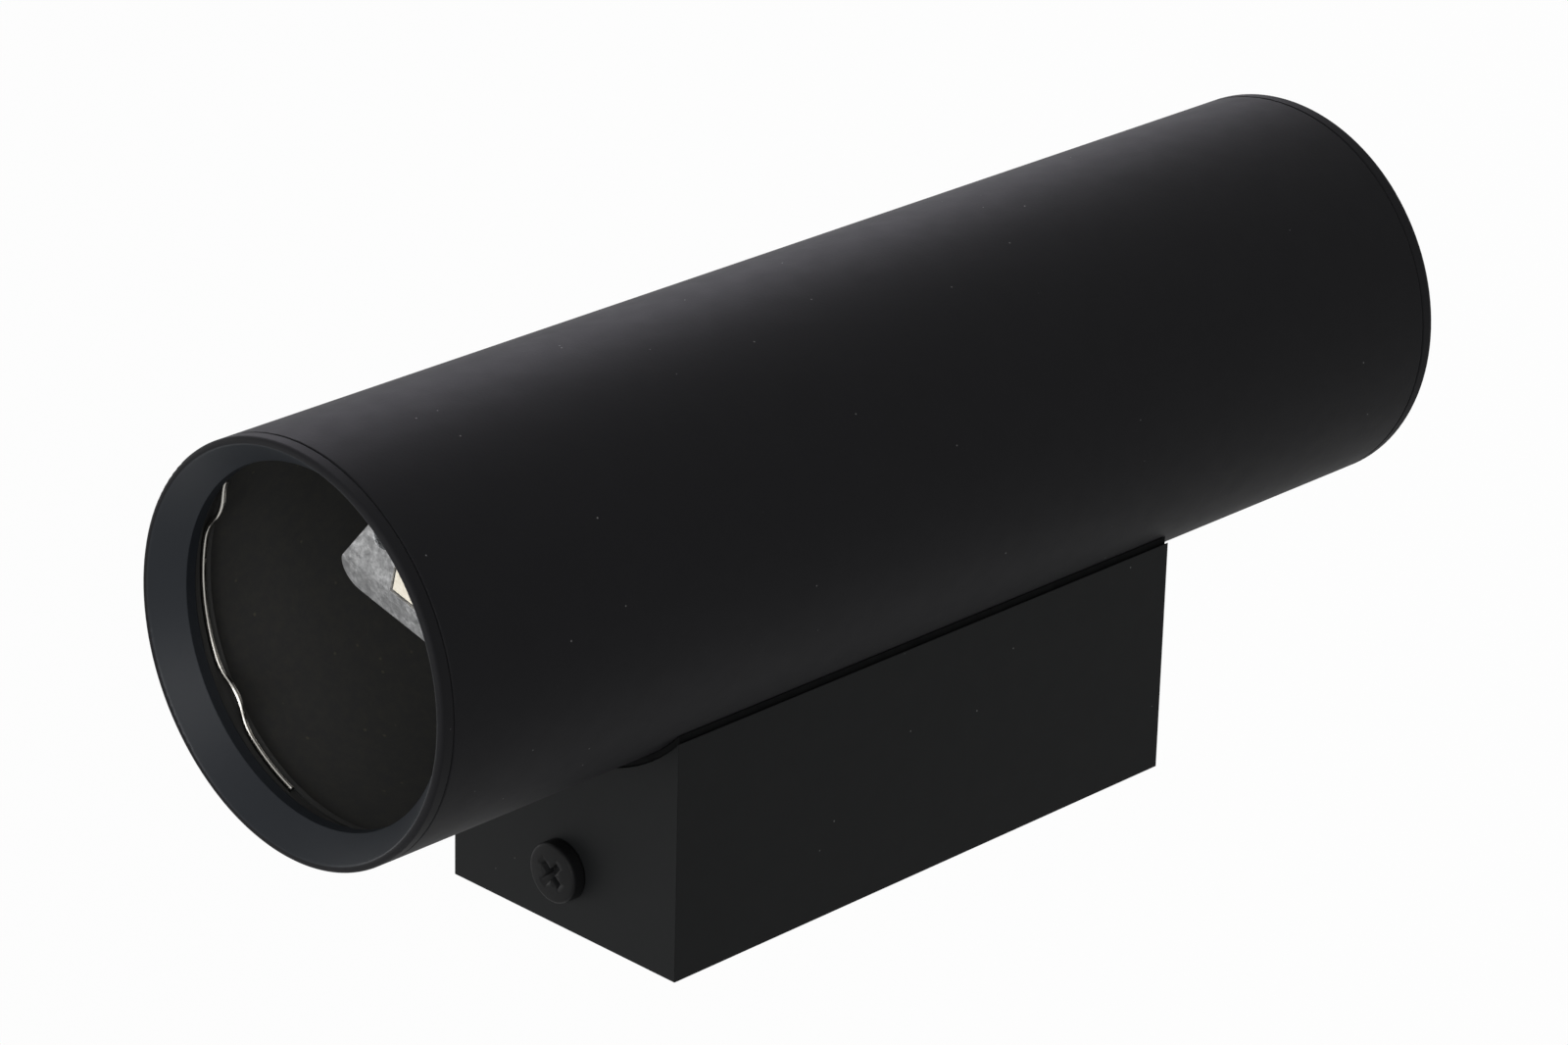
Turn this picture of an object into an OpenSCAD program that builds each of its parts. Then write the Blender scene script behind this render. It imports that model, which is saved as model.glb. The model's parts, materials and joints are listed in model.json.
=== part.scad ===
// Tube wall light: a round tube with a spot lamp's place at each end, carried on a small wall box.
// Millimetres. +Z is up along the tube and -Y points away from the wall.
// The origin is the middle of the bracket's back face, which lies on the wall.

/* [Tube] */
// Overall length of the light, end rings included
light_l = 185; // [180:1:240]
// Wall of the tube
tube_wall = 1; // [0.8:0.1:1.2]
// Clear distance from the wall to the tube
tube_standoff = 25.6; // [25:0.1:36]

/* [End rings] */
// Height of the flange that shows at each end of the tube
flange_h = 2.1; // [1.5:0.1:3.5]
// Wall of the rounded rim at the mouth
rim_w = 1.2; // [0.8:0.1:1.6]
// How far the lip reaches in from the lamp's seat
lip_in = 1.8; // [1.2:0.1:3]
// Depth of the cone from the mouth down to the lip
cone_depth = 3.85; // [3:0.05:6]
// Height of the lip
lip_h = 1.5; // [1:0.1:2.5]
// Wall of the ring's skirt round the lamp's seat
skirt_wall = 1.15; // [0.9:0.05:2]
// Running clearance of the ring's skirt in the tube, on the radius
ring_fit = 0.05; // [0.02:0.01:0.1]

/* [Lamp and clip] */
// Diameter of the lamp's rim
lamp_d = 50; // [49:0.1:50.4]
// Room round the lamp's rim, on the diameter
lamp_room = 0.6; // [0.4:0.1:0.8]
// Height of the lamp's rim between the lip and the clip
lamp_rim_h = 2.25; // [2:0.05:4]
// Diameter of the clip's spring wire
wire_d = 0.8; // [0.6:0.1:1]
// How far each dip of the clip reaches in over the lamp's rim
dip_in = 1.4; // [1:0.1:1.8]
// Bend radius at the bottom of a dip
dip_bend = 5; // [4:0.5:6]
// Bend radius at the two shoulders of a dip
shoulder_bend = 6; // [5:0.5:7]
// Angle from one dip to the next
dip_step = 62; // [58:1:66]
// Angle left open between the clip's two ends
clip_gap = 48; // [36:1:50]
// Turn of the clip in its groove
clip_turn = 3; // [-10:1:10]
// Depth of the clip's groove in the ring
groove_depth = 0.4; // [0.2:0.1:0.5]

/* [Lampholder] */
// Depth of the lampholder's front below the mouth, with no lamp in
holder_depth = 25; // [24:0.5:32]
// Turn of the lampholder about the tube's axis
holder_turn = 14; // [0:1:40]
// Length of the ceramic body
holder_l = 30; // [29:0.5:32]
// Width of the ceramic body
holder_w = 16.5; // [16:0.1:18]
// Height of the front half of the ceramic body
body_h = 12; // [11:0.5:14]
// Height of the rear half of the ceramic body
cap_h = 9; // [8:0.5:12]
// Distance between the two lamp pins
pin_pitch = 10; // [9.8:0.1:10.2]
// Diameter of the hole for a pin's head
pin_hole_d = 5.4; // [5.2:0.1:5.6]
// Width of the curved slot that the pin's neck turns into
pin_slot_w = 3.2; // [3:0.1:3.4]
// Angle that the lamp is turned through to lock
lock_turn = 35; // [30:1:40]
// Thickness of the front wall behind which the pins lock
pin_wall = 5; // [4:0.5:6]
// Length of the galvanised strap along its middle
strap_l = 31.2; // [30.8:0.1:32]
// Width of the galvanised strap
strap_w = 17.5; // [16.6:0.1:18.5]
// Thickness of the strap
strap_t = 1; // [0.8:0.1:1.2]
// Width of the strap's flat between its sloping edges
strap_flat_w = 8.8; // [8.8:0.1:9.6]
// Drop of the strap's sloping edges
strap_drop = 1.5; // [1:0.1:2.2]
// Slant of the strap's two ends
strap_slant = 27; // [22:1:28]
// Corner radius of the strap
strap_corner = 2.9; // [1.5:0.1:3.5]
// Length of the strap's window
window_l = 17.6; // [17:0.1:18]
// Distance between the two clamping screws along the strap
clamp_pitch = 23.6; // [23.2:0.1:23.8]
// Distance of each clamping screw from the strap's middle, one to each side
clamp_aside = 1.9; // [1.5:0.1:2]

/* [Wall box] */
// Length of the box along the tube
box_l = 92.6; // [90:0.2:110]
// Width of the box
box_w = 41.3; // [39:0.1:46]
// Wall of the box
box_wall = 2; // [1.5:0.1:2.4]
// Gap between the tube and the box, filled by the gasket
tube_gap = 0.9; // [0.8:0.1:1.5]
// How far the gasket stays back from the box's edges
gasket_inset = 0.3; // [0.2:0.1:2]
// Height of the two side screws above the wall
side_screw_h = 8.5; // [8:0.1:10]
// Distance of the screws that hold the tube from the box's ends
tube_screw_in = 16.3; // [14:0.1:20]

/* [Wall bracket] */
// Thickness of the bracket's sheet
bracket_t = 1.5; // [1.2:0.1:2]
// Width of the bracket's plate
bracket_w = 30; // [29:0.5:34]
// Width of the bracket's ears
ear_w = 18; // [14:0.5:22]
// Height of the bracket's ears above the wall
ear_h = 13.5; // [13:0.5:16]
// Distance of a wall slot's middle from the plate's end
slot_in = 8.5; // [8:0.1:9]
// Width of a wall slot
slot_w = 5; // [4.8:0.1:5.5]
// End-to-end length of a wall slot
slot_l = 10; // [8:0.5:11]

/* [Supply] */
// Bore of the bush for the supply cable
cable_d = 7.6; // [6:0.1:8.4]
// Distance of the cable's middle from the nearer wall slot
cable_in = 12; // [10:0.5:13]
// Distance between the poles of the terminal block
pole_pitch = 8.5; // [8:0.1:9]
// Size of the terminal block along the wires
block_l = 16; // [15:0.5:17]
// Height of the terminal block
block_h = 12; // [11:0.5:12.5]
// Bore of a terminal for the wires
wire_bore_d = 3.3; // [3.2:0.1:3.5]
// Diameter over the sleeve of a lead
lead_d = 2.2; // [1.8:0.1:2.3]
// Diameter of a lead's bare conductor
conductor_d = 0.8; // [0.6:0.1:0.9]

/* [Hidden] */
$fn = 96;

// Overrun of a cut past the face that it goes through
cut = 0.5;
// Half a turn, in degrees
half_turn = 180;

// Colours
black_coat = [0.11, 0.11, 0.12];
zinc = [0.66, 0.68, 0.7];
steatite = [0.88, 0.85, 0.77];
brass = [0.78, 0.62, 0.3];

// Tube, sized by the lamp and the ring's skirt round it
seat_r = (lamp_d + lamp_room) / 2;
skirt_r = seat_r + skirt_wall;
tube_ir = skirt_r + ring_fit;
tube_r = tube_ir + tube_wall;
// Small chamfer where the tube and the ring's flange meet
edge_break = 0.2;
axis_y = -(tube_standoff + tube_r);
end_z = light_l / 2;
tube_l = light_l - 2 * flange_h;

// End ring, with a cone that runs off the rim's round at rim_touch
lip_r = seat_r - lip_in;
lip_back = cone_depth + lip_h;
rim_mid = [tube_r - rim_w / 2, -rim_w / 2];
rim_to_lip = [lip_r, -cone_depth] - rim_mid;
rim_touch_angle = atan2(rim_to_lip.y, rim_to_lip.x) - acos(rim_w / 2 / norm(rim_to_lip));
rim_touch = rim_mid + rim_w / 2 * [cos(rim_touch_angle), sin(rim_touch_angle)];
groove_r = seat_r + groove_depth;
// Play of the wire in its groove, on the radius and along the ring
clip_play = 0.1;
groove_h = wire_d + 2 * clip_play;
clip_depth = lip_back + lamp_rim_h + wire_d / 2;
// Length of the skirt past the groove
skirt_tail = 0.8;
ring_l = clip_depth + groove_h / 2 + skirt_tail;

// Clip: lobes on lobe_r, and dips made of one arc out and two arcs in
lobe_r = groove_r - clip_play - wire_d / 2;
dips = 5;
shoulder_at = lobe_r - shoulder_bend;
dip_at = lobe_r - dip_in + dip_bend;
bend_sum = dip_bend + shoulder_bend;
dip_half = acos((shoulder_at * shoulder_at + dip_at * dip_at - bend_sum * bend_sum)
    / (2 * shoulder_at * dip_at));
meet_angle = atan2(shoulder_at * sin(dip_half), dip_at - shoulder_at * cos(dip_half));
// Steps of each arc of the clip
dip_steps = 4;
// Direction of the clip's opening, near the wall side, and of the side across from it
wall_side = 90 + clip_turn;
front_side = wall_side + half_turn;

// Lampholder, with its own z at 0 on the strap's front and falling inwards
// Gap between ceramic faces and the strap or boss beside them
ceramic_fit = 0.15;
body_top = -strap_t - ceramic_fit;
body_foot = -strap_t - body_h;
cap_foot = body_foot - cap_h;
boss_top = -strap_t / 3;
pocket_top = boss_top - pin_wall;
clamp_screw_d = 3;
clamp_hole_d = 3.4;
clamp_head_d = 5.4;
clamp_head_h = 1.8;
clamp_slot_w = 0.8;
// Facets of each round corner of the strap
corner_steps = 10;
// How far a clamping screw's tip stays below the strap's face
clamp_tip_in = 0.15;
// Pocket for the contacts behind the keyholes
pocket_room = 1.4;
pocket_l = pin_pitch + pin_hole_d + pocket_room;
pocket_w = 7.3;
lead_hole_d = lead_d + 4 * ceramic_fit;
contact_w = 4;
contact_t = 0.5;
contact_base = 5.4;
barrel_l = 4;
barrel_d = 1.8;

// Wall box
box_r = tube_r + tube_gap;
roof_r = box_r + box_wall;
roof_y = axis_y + roof_r;
box_end = box_l / 2;
inner_w = box_w - 2 * box_wall;
inner_end = box_end - box_wall;
gasket_fit = 0.05;
tube_screw_z = box_end - tube_screw_in;

// Screws that hold the tube, and their rivet nuts
m4_d = 4;
m4_hole_d = 4.5;
m4_thread_fit = 0.05;
m4_head_d = 8.3;
m4_head_h = 2.3;
m4_edge = 0.9;
tube_screw_l = 8;
washer_d = 9;
washer_t = 0.8;
nut_body_d = 6;
nut_hole_fit = 0.1;
nut_flange_d = 7.2;
nut_flange_t = 0.5;
nut_bulge_d = 8;
nut_bulge_h = 1.6;
nut_bulge_gap = 0.4;
nut_l = 8;

// Cross recess of a pan head, as two crossed bars
recess_l = 4.4;
recess_w = 0.95;
recess_depth = 1.3;
recess_turn = 40;

// Side screws and the bracket's ears
side_screw_l = 8;
ear_play = 0.3;
ear_out = inner_end - ear_play;
bend_r = 1;
ear_collar_d = 6.8;
ear_collar_h = 2;
bracket_corner = 2;
plate_end = ear_out - bend_r - bracket_t;
slot_z = plate_end - slot_in;
cable_z = slot_z - slot_l / 2 - cable_in;
thread_r = m4_d / 2 + m4_thread_fit;

// Bush for the leads, in the box's roof and the tube's wall
bush_d = 12.8;
bush_fit = 0.1;
bush_wall = 1.5;
bush_flange_w = 1.6;
bush_flange_t = 1.4;
bush_hole_r = bush_d / 2 + bush_fit;
bush_tip_y = axis_y + sqrt(tube_ir * tube_ir - bush_hole_r * bush_hole_r) - bush_fit - bush_wall / 2;
bush_flange_y = roof_y + bush_fit;
bush_end_y = bush_flange_y + bush_flange_t;

// Bush for the supply cable
cable_bush_d = 10.9;
cable_bush_flange_d = 14.4;
cable_bush_flange_t = 1.5;
cable_bush_l = 8;
cable_bush_tip_d = 10;

// Terminal block
poles = 3;
pole_xs = [for (i = [0 : poles - 1]) (i - (poles - 1) / 2) * pole_pitch];
// Middle of the block, as a share of the plate's half length
block_share = 0.229;
block_z = -block_share * plate_end;
block_w = poles * pole_pitch;
block_base_h = 8;
block_gap = 0.1;
tower_w = 6.3;
tower_inset = 1;
insert_h = 5;
insert_y = -(bracket_t + insert_h);
insert_d = 4.6;
insert_l = 13;
insert_web = 1.4;
insert_fit = 0.05;
clamp_span = 8;
term_screw_d = 2.5;
term_screw_head_d = 3;
term_access_d = 3.4;
term_slot_w = 0.6;
term_slot_depth = 0.5;
fix_d = 2.5;
fix_head_d = 4.4;
fix_head_h = 1.5;
fix_hole_d = 2.8;
fix_head_play = 0.3;
block_top_y = -(bracket_t + block_h);
block_base_y = -(bracket_t + block_base_h);
block_back_z = block_z - block_l / 2;

// Earth bond: a ring tag with a barrel for the lead, under a washer and a screw
earth_x = 10.5;
earth_in = 5.5;
earth_z = earth_in - plate_end;
tag_t = 0.8;
tag_d = 8;
tag_barrel_d = 3;
tag_barrel_l = 5;
tag_barrel_lift = 0.1;
tag_neck = 1;
tag_barrel_z = earth_z + tag_d / 2 + tag_neck;
tag_barrel_y = -bracket_t - tag_barrel_lift - tag_barrel_d / 2;
earth_washer_t = 0.6;
earth_washer_d = 8;
earth_head_y = -bracket_t - tag_t - earth_washer_t;
earth_end_gap = 0.1;
// Way of the earth lead, as shares of its rise and of its way across to the terminal
earth_way_shares = [[0, 0], [0.1, 0], [0.2, 0], [0.5, 0.5], [0.8, 1], [0.9, 1], [1, 1]];

// Leads
sweep_sides = 8;
lead_steps = 3;
lane_room = 0.2;
lane = lead_d + lane_room;
pair_half = lead_d / 2 + lane_room / 4;
run_bend = 5;
// Gap from the block's back to where the leads turn round into it
u_turn_gap = 5.5;
u_turn_z = block_back_z - u_turn_gap;
run_y = bush_end_y + run_bend;
u_bend = (insert_y - run_y) / 2;
lead_end_gap = 0.2;
conductor_end = 6.5;
lead_start_z = end_z - holder_depth + body_foot - barrel_l;
lead_out_z = end_z - holder_depth + cap_foot - 2 * lead_d;
pin_x = pin_pitch / 2 * cos(holder_turn);
pin_y = pin_pitch / 2 * sin(holder_turn);
// Way of a lead from its holder to the bush, as shares: across to its own lane, of its first
// offset that is left, of the tube's radius toward the wall, and of its first height that is left
lead_way_shares = [[0.33, 0.5, 0.1, 0.75], [0.67, 0, 0.34, 0.5], [1, 0, 0.62, 0.25],
    [1, 0, 0.81, 0.07]];

// Turns what is drawn at the top end half round the wall's normal, to the bottom end
module at_end(bottom) {
    rotate([0, bottom ? half_turn : 0, 0]) children();
}

// Puts children at the middle of the top mouth, z falling into the tube
module at_mouth() {
    translate([0, axis_y, end_z]) children();
}

// Puts children on the lampholder's front face
module at_holder() {
    at_mouth() translate([0, 0, -holder_depth]) rotate([0, 0, -holder_turn]) children();
}

// Cylinder along Y from y_from to y_to
module rod_y(d, y_from, y_to) {
    translate([0, y_to, 0]) rotate([90, 0, 0]) cylinder(d = d, h = y_to - y_from);
}

// Long shape with round ends, centred, lying along X
module stadium(l, w) {
    square([l - w, w], center = true);
    for (s = [-1, 1]) translate([s * (l - w) / 2, 0]) circle(d = w);
}

// Rectangle with round corners, centred
module soft_rect(l, w, r) {
    square([l - 2 * r, w], center = true);
    square([l, w - 2 * r], center = true);
    for (x = [-1, 1], y = [-1, 1]) translate([x * (l / 2 - r), y * (w / 2 - r)]) circle(r = r);
}

// Points round a corner of radius r about c, from one angle to another
function corner(c, r, from, to) = [for (k = [0 : corner_steps])
    let (a = from + (to - from) * k / corner_steps) c + r * [cos(a), sin(a)]];

// Plate centred on the origin, lying along X, its ends slanting by a, with round corners
module slanted_plate(l, w, a, r) {
    side = w / 2 - r;
    far = [l / 2 + (side * sin(a) - r) / cos(a), side];
    near = [l / 2 - (side * sin(a) + r) / cos(a), -side];
    half = concat(corner(far, r, half_turn / 2, -a), corner(near, r, -a, -half_turn / 2));
    polygon(concat(half, [for (p = half) -p]));
}

// Pan-head screw along +Z: head above z = 0, shank below, cross recess in the head
module pan_screw(d, l, head_d, head_h, edge, turn) {
    difference() {
        rotate_extrude() {
            square([head_d / 2 - edge, head_h]);
            square([head_d / 2, head_h - edge]);
            translate([head_d / 2 - edge, head_h - edge]) circle(r = edge);
            translate([0, -l]) square([d / 2, l + edge]);
        }
        rotate([0, 0, turn]) translate([0, 0, head_h - recess_depth]) {
            translate([-recess_l / 2, -recess_w / 2, 0]) cube([recess_l, recess_w, recess_depth + cut]);
            translate([-recess_w / 2, -recess_l / 2, 0]) cube([recess_w, recess_l, recess_depth + cut]);
        }
    }
}

// Point between b and c on a smooth curve through a, b, c and d
function smooth_point(a, b, c, d, t) = (2 * b + (c - a) * t + (2 * a - 5 * b + 4 * c - d) * t * t
    + (3 * b - a - 3 * c + d) * t * t * t) / 2;
function smooth_path(p, n) = [
    for (i = [0 : len(p) - 2], k = [0 : n - 1])
        smooth_point(p[max(i - 1, 0)], p[i], p[i + 1], p[min(i + 2, len(p) - 1)], k / n),
    p[len(p) - 1]];
function unit(v) = v / norm(v);
function heading(p, i) = unit(p[min(i + 1, len(p) - 1)] - p[max(i - 1, 0)]);
function sweep_ring(p, i, r, aside) = let (t = heading(p, i), u = unit(cross(t, aside)), v = cross(t, u))
    [for (k = [0 : sweep_sides - 1]) let (a = (k + 0.5) * 2 * half_turn / sweep_sides)
        p[i] + r * (cos(a) * u + sin(a) * v)];

// Round wire or lead along the points p, which never run along the direction aside
module sweep(p, d, aside) {
    n = len(p);
    s = sweep_sides;
    points = [for (i = [0 : n - 1]) each sweep_ring(p, i, d / 2, aside)];
    sides = [for (i = [0 : n - 2], k = [0 : s - 1]) let (a = i * s + k, b = i * s + (k + 1) % s)
        each [[a, a + s, b], [b, a + s, b + s]]];
    first = [for (k = [1 : s - 2]) [0, k, k + 1]];
    last = [for (k = [1 : s - 2]) let (e = (n - 1) * s) [e, e + k + 1, e + k]];
    polyhedron(points = points, faces = concat(sides, first, last));
}

// Aluminium tube, open at both ends, drilled on the wall side
module tube() {
    half_l = tube_l / 2;
    color(black_coat) difference() {
        translate([0, axis_y, 0]) rotate_extrude() polygon([[tube_ir, -half_l],
            [tube_r - edge_break, -half_l], [tube_r, edge_break - half_l],
            [tube_r, half_l - edge_break], [tube_r - edge_break, half_l], [tube_ir, half_l]]);
        for (s = [-1, 1]) translate([0, 0, s * tube_screw_z])
            rod_y(nut_body_d + 2 * nut_hole_fit, axis_y, axis_y + tube_r + cut);
        rod_y(2 * bush_hole_r, axis_y, axis_y + tube_r + cut);
    }
}

// Turned ring: rounded rim, cone down to the lip, seat for the lamp and groove for the clip
module end_ring() {
    color(black_coat) at_mouth() rotate_extrude() difference() {
        union() {
            translate(rim_mid) circle(d = rim_w);
            polygon([rim_touch, [lip_r, -cone_depth], [lip_r, -lip_back],
                [seat_r, -lip_back], [seat_r, -ring_l], [skirt_r, -ring_l], [skirt_r, -flange_h],
                [tube_r - edge_break, -flange_h], [tube_r, edge_break - flange_h],
                [tube_r, -rim_w / 2]]);
        }
        translate([seat_r - groove_depth, -clip_depth - groove_h / 2])
            square([2 * groove_depth, groove_h]);
    }
}

// Points of an arc in the clip's plane, without its last one
function arc(c, r, from, to, n) = [for (i = [0 : n - 1]) let (a = from + (to - from) * i / n)
    c + r * [cos(a), sin(a), 0]];
// One dip of the clip at angle a: an arc out, the dip's own arc, and an arc out again
function dip_points(a) = let (out = [cos(a), sin(a), 0] * dip_at,
        before = [cos(a - dip_half), sin(a - dip_half), 0] * shoulder_at,
        after = [cos(a + dip_half), sin(a + dip_half), 0] * shoulder_at)
    concat(arc(before, shoulder_bend, a - dip_half, a + meet_angle, dip_steps),
        arc(out, dip_bend, a + half_turn + meet_angle, a + half_turn - meet_angle, dip_steps),
        arc(after, shoulder_bend, a - meet_angle, a + dip_half, dip_steps));
function dip_angle(k) = front_side + (k - (dips - 1) / 2) * dip_step;

// Open clip of spring wire: lobes lie in the groove and dips reach over the lamp's rim
module lamp_clip() {
    centre = [0, 0, 0];
    from = wall_side + clip_gap / 2;
    to = wall_side + 2 * half_turn - clip_gap / 2;
    path = concat(
        arc(centre, lobe_r, from, dip_angle(0) - dip_half, dip_steps),
        [for (k = [0 : dips - 1]) each concat(dip_points(dip_angle(k)),
            arc(centre, lobe_r, dip_angle(k) + dip_half,
                k < dips - 1 ? dip_angle(k + 1) - dip_half : to, dip_steps))],
        [lobe_r * [cos(to), sin(to), 0]]);
    color(zinc) at_mouth() translate([0, 0, -clip_depth]) sweep(path, wire_d, [0, 0, 1]);
}

// Galvanised strap: flat ends, a window for the lamp's pins and two sloping edges
module holder_strap() {
    half_flat = strap_flat_w / 2;
    half_w = strap_w / 2;
    color(zinc) at_holder() difference() {
        intersection() {
            rotate([90, 0, 90]) linear_extrude(2 * strap_l, center = true)
                polygon([[-half_w, -strap_drop], [-half_flat, 0], [half_flat, 0],
                    [half_w, -strap_drop], [half_w, -strap_drop - strap_t], [half_flat, -strap_t],
                    [-half_flat, -strap_t], [-half_w, -strap_drop - strap_t]]);
            translate([0, 0, -strap_drop - 2 * strap_t]) linear_extrude(strap_drop + 3 * strap_t)
                slanted_plate(strap_l, strap_w, strap_slant, strap_corner);
        }
        translate([0, 0, -strap_t])
            cube([window_l, strap_flat_w - 2 * ceramic_fit, 3 * strap_t], center = true);
        for (s = [-1, 1]) translate([s * clamp_pitch / 2, -s * clamp_aside, -strap_t - cut])
            cylinder(r = clamp_screw_d / 2 + m4_thread_fit, h = strap_t + 2 * cut);
    }
}

// One keyhole for a lamp pin: round hole and the curved slot that the neck turns into
module keyhole() {
    hole_h = pin_wall + 2 * cut;
    translate([0, 0, pocket_top - cut]) {
        translate([pin_pitch / 2, 0, 0]) cylinder(d = pin_hole_d, h = hole_h);
        rotate_extrude(angle = lock_turn)
            translate([(pin_pitch - pin_slot_w) / 2, 0]) square([pin_slot_w, hole_h]);
    }
}

// Ceramic front half: sloping shoulders under the strap, a boss in its window, pin keyholes
module holder_body() {
    half_flat = strap_flat_w / 2;
    half_w = holder_w / 2;
    slope = strap_drop / (strap_w / 2 - half_flat);
    shoulder = body_top - slope * (half_w - half_flat);
    color(steatite) at_holder() difference() {
        union() {
            intersection() {
                rotate([90, 0, 90]) linear_extrude(holder_l, center = true)
                    polygon([[-half_w, body_foot], [-half_w, shoulder], [-half_flat, body_top],
                        [half_flat, body_top], [half_w, shoulder], [half_w, body_foot]]);
                translate([0, 0, body_foot]) linear_extrude(body_h) stadium(holder_l, holder_w);
            }
            translate([0, 0, body_foot / 2])
                linear_extrude(boss_top - body_foot / 2)
                    square([window_l - 2 * ceramic_fit, strap_flat_w - 4 * ceramic_fit], center = true);
        }
        translate([0, 0, body_foot - cut]) linear_extrude(pocket_top - body_foot + cut)
            square([pocket_l, pocket_w], center = true);
        for (a = [0, half_turn]) rotate([0, 0, a]) {
            keyhole();
            translate([clamp_pitch / 2, -clamp_aside, body_foot - cut])
                cylinder(d = clamp_hole_d, h = body_h + 2 * cut);
        }
    }
}

// Ceramic rear half, with a hole for each lead
module holder_cap() {
    color(steatite) at_holder() translate([0, 0, cap_foot]) difference() {
        linear_extrude(cap_h) stadium(holder_l, holder_w);
        for (s = [-1, 1]) translate([s * clamp_pitch / 2, -s * clamp_aside, -cut])
            cylinder(d = clamp_hole_d, h = cap_h + 2 * cut);
        for (x = [-pin_pitch, pin_pitch]) translate([x / 2, 0, -cut])
            cylinder(d = lead_hole_d, h = cap_h + 2 * cut);
    }
}

// Two spring contacts: a base on the cap, a leaf beside the pin, a barrel for the lead
module holder_contacts() {
    color(brass) at_holder() for (a = [0, half_turn]) rotate([0, 0, a])
        translate([pin_pitch / 2, 0, body_foot]) {
            translate([-contact_w / 2, -contact_base / 2, 0]) cube([contact_w, contact_base, contact_t]);
            translate([-contact_w / 2, -contact_base / 2, 0])
                cube([contact_w, contact_t, pocket_top - body_foot - contact_t]);
            translate([0, 0, -barrel_l]) cylinder(d = barrel_d, h = barrel_l);
        }
}

// Two clamping screws, from behind the cap into threads in the strap
module holder_screws() {
    color(zinc) at_holder() for (a = [0, half_turn]) rotate([0, 0, a])
        translate([clamp_pitch / 2, -clamp_aside, cap_foot]) difference() {
            union() {
                cylinder(d = clamp_screw_d, h = -cap_foot - clamp_tip_in);
                translate([0, 0, -clamp_head_h])
                    cylinder(d1 = clamp_head_d - clamp_head_h, d2 = clamp_head_d, h = clamp_head_h);
            }
            translate([-clamp_head_d / 2, -clamp_slot_w / 2, -1.5 * clamp_head_h])
                cube([clamp_head_d, clamp_slot_w, clamp_head_h]);
        }
}

// Route of a lead: out of the holder, through the bush, over the block and into its back
function lead_route(side, x0, y0, lane_x, end_x) = concat([
    [x0, axis_y + y0, side * lead_start_z],
    [x0, axis_y + y0, side * (lead_start_z + lead_out_z) / 2],
    [x0, axis_y + y0, side * lead_out_z]],
    [for (w = lead_way_shares) [x0 + (lane_x - x0) * w[0], axis_y + y0 * w[1] + tube_r * w[2],
        side * lead_out_z * w[3]]],
    [[lane_x, bush_tip_y, 0], [lane_x, (bush_tip_y + bush_end_y) / 2, 0]],
    [for (a = [0 : 30 : 90]) [lane_x, bush_end_y + run_bend * sin(a), -run_bend * (1 - cos(a))]],
    [[(lane_x + end_x) / 2, run_y, (u_turn_z - run_bend) / 2]],
    [for (a = [0 : 30 : 180]) [end_x, insert_y - u_bend * (1 + cos(a)), u_turn_z - u_bend * sin(a)]],
    [[end_x, insert_y, block_back_z - lead_end_gap]]);

// Sleeved lead with its bare end in the terminal
module lamp_lead(side, x0, y0, lane_x, end_x) {
    sweep(smooth_path(lead_route(side, x0, y0, lane_x, end_x), lead_steps), lead_d, [1, 0, 0]);
    translate([end_x, insert_y, block_back_z - lead_end_gap])
        cylinder(d = conductor_d, h = conductor_end, $fn = 24);
}

module live_lead_top() {
    color("saddlebrown") lamp_lead(1, -pin_x, pin_y, -1.5 * lane, -pole_pitch - pair_half);
}

module live_lead_bottom() {
    color("saddlebrown") lamp_lead(-1, -pin_x, -pin_y, -lane / 2, -pole_pitch + pair_half);
}

module neutral_lead_top() {
    color("royalblue") lamp_lead(1, pin_x, -pin_y, 1.5 * lane, pair_half);
}

module neutral_lead_bottom() {
    color("royalblue") lamp_lead(-1, pin_x, pin_y, lane / 2, -pair_half);
}

// Rubber bush through the roof of the box and the wall of the tube
module lead_bush() {
    color("dimgray") difference() {
        union() {
            rod_y(bush_d, bush_tip_y, bush_end_y);
            rod_y(bush_d + 2 * bush_flange_w, bush_flange_y, bush_end_y);
        }
        rod_y(bush_d - 2 * bush_wall, bush_tip_y - cut, bush_end_y + cut);
    }
}

// Gasket between tube and box, back from the box's edges
module saddle_gasket() {
    gasket_w = box_w - 2 * gasket_inset;
    color([0.05, 0.05, 0.05]) difference() {
        intersection() {
            translate([0, axis_y, 0])
                cylinder(r = box_r - gasket_fit, h = box_l - 2 * gasket_inset, center = true);
            translate([-gasket_w / 2, axis_y, -box_l / 2]) cube([gasket_w, box_r + cut, box_l]);
        }
        translate([0, axis_y, 0]) cylinder(r = tube_r + gasket_fit, h = box_l, center = true);
        for (s = [-1, 1]) translate([0, 0, s * tube_screw_z])
            rod_y(nut_flange_d + 2 * bush_fit, axis_y, axis_y + box_r + cut);
        rod_y(2 * bush_hole_r, axis_y, axis_y + box_r + cut);
    }
}

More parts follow.
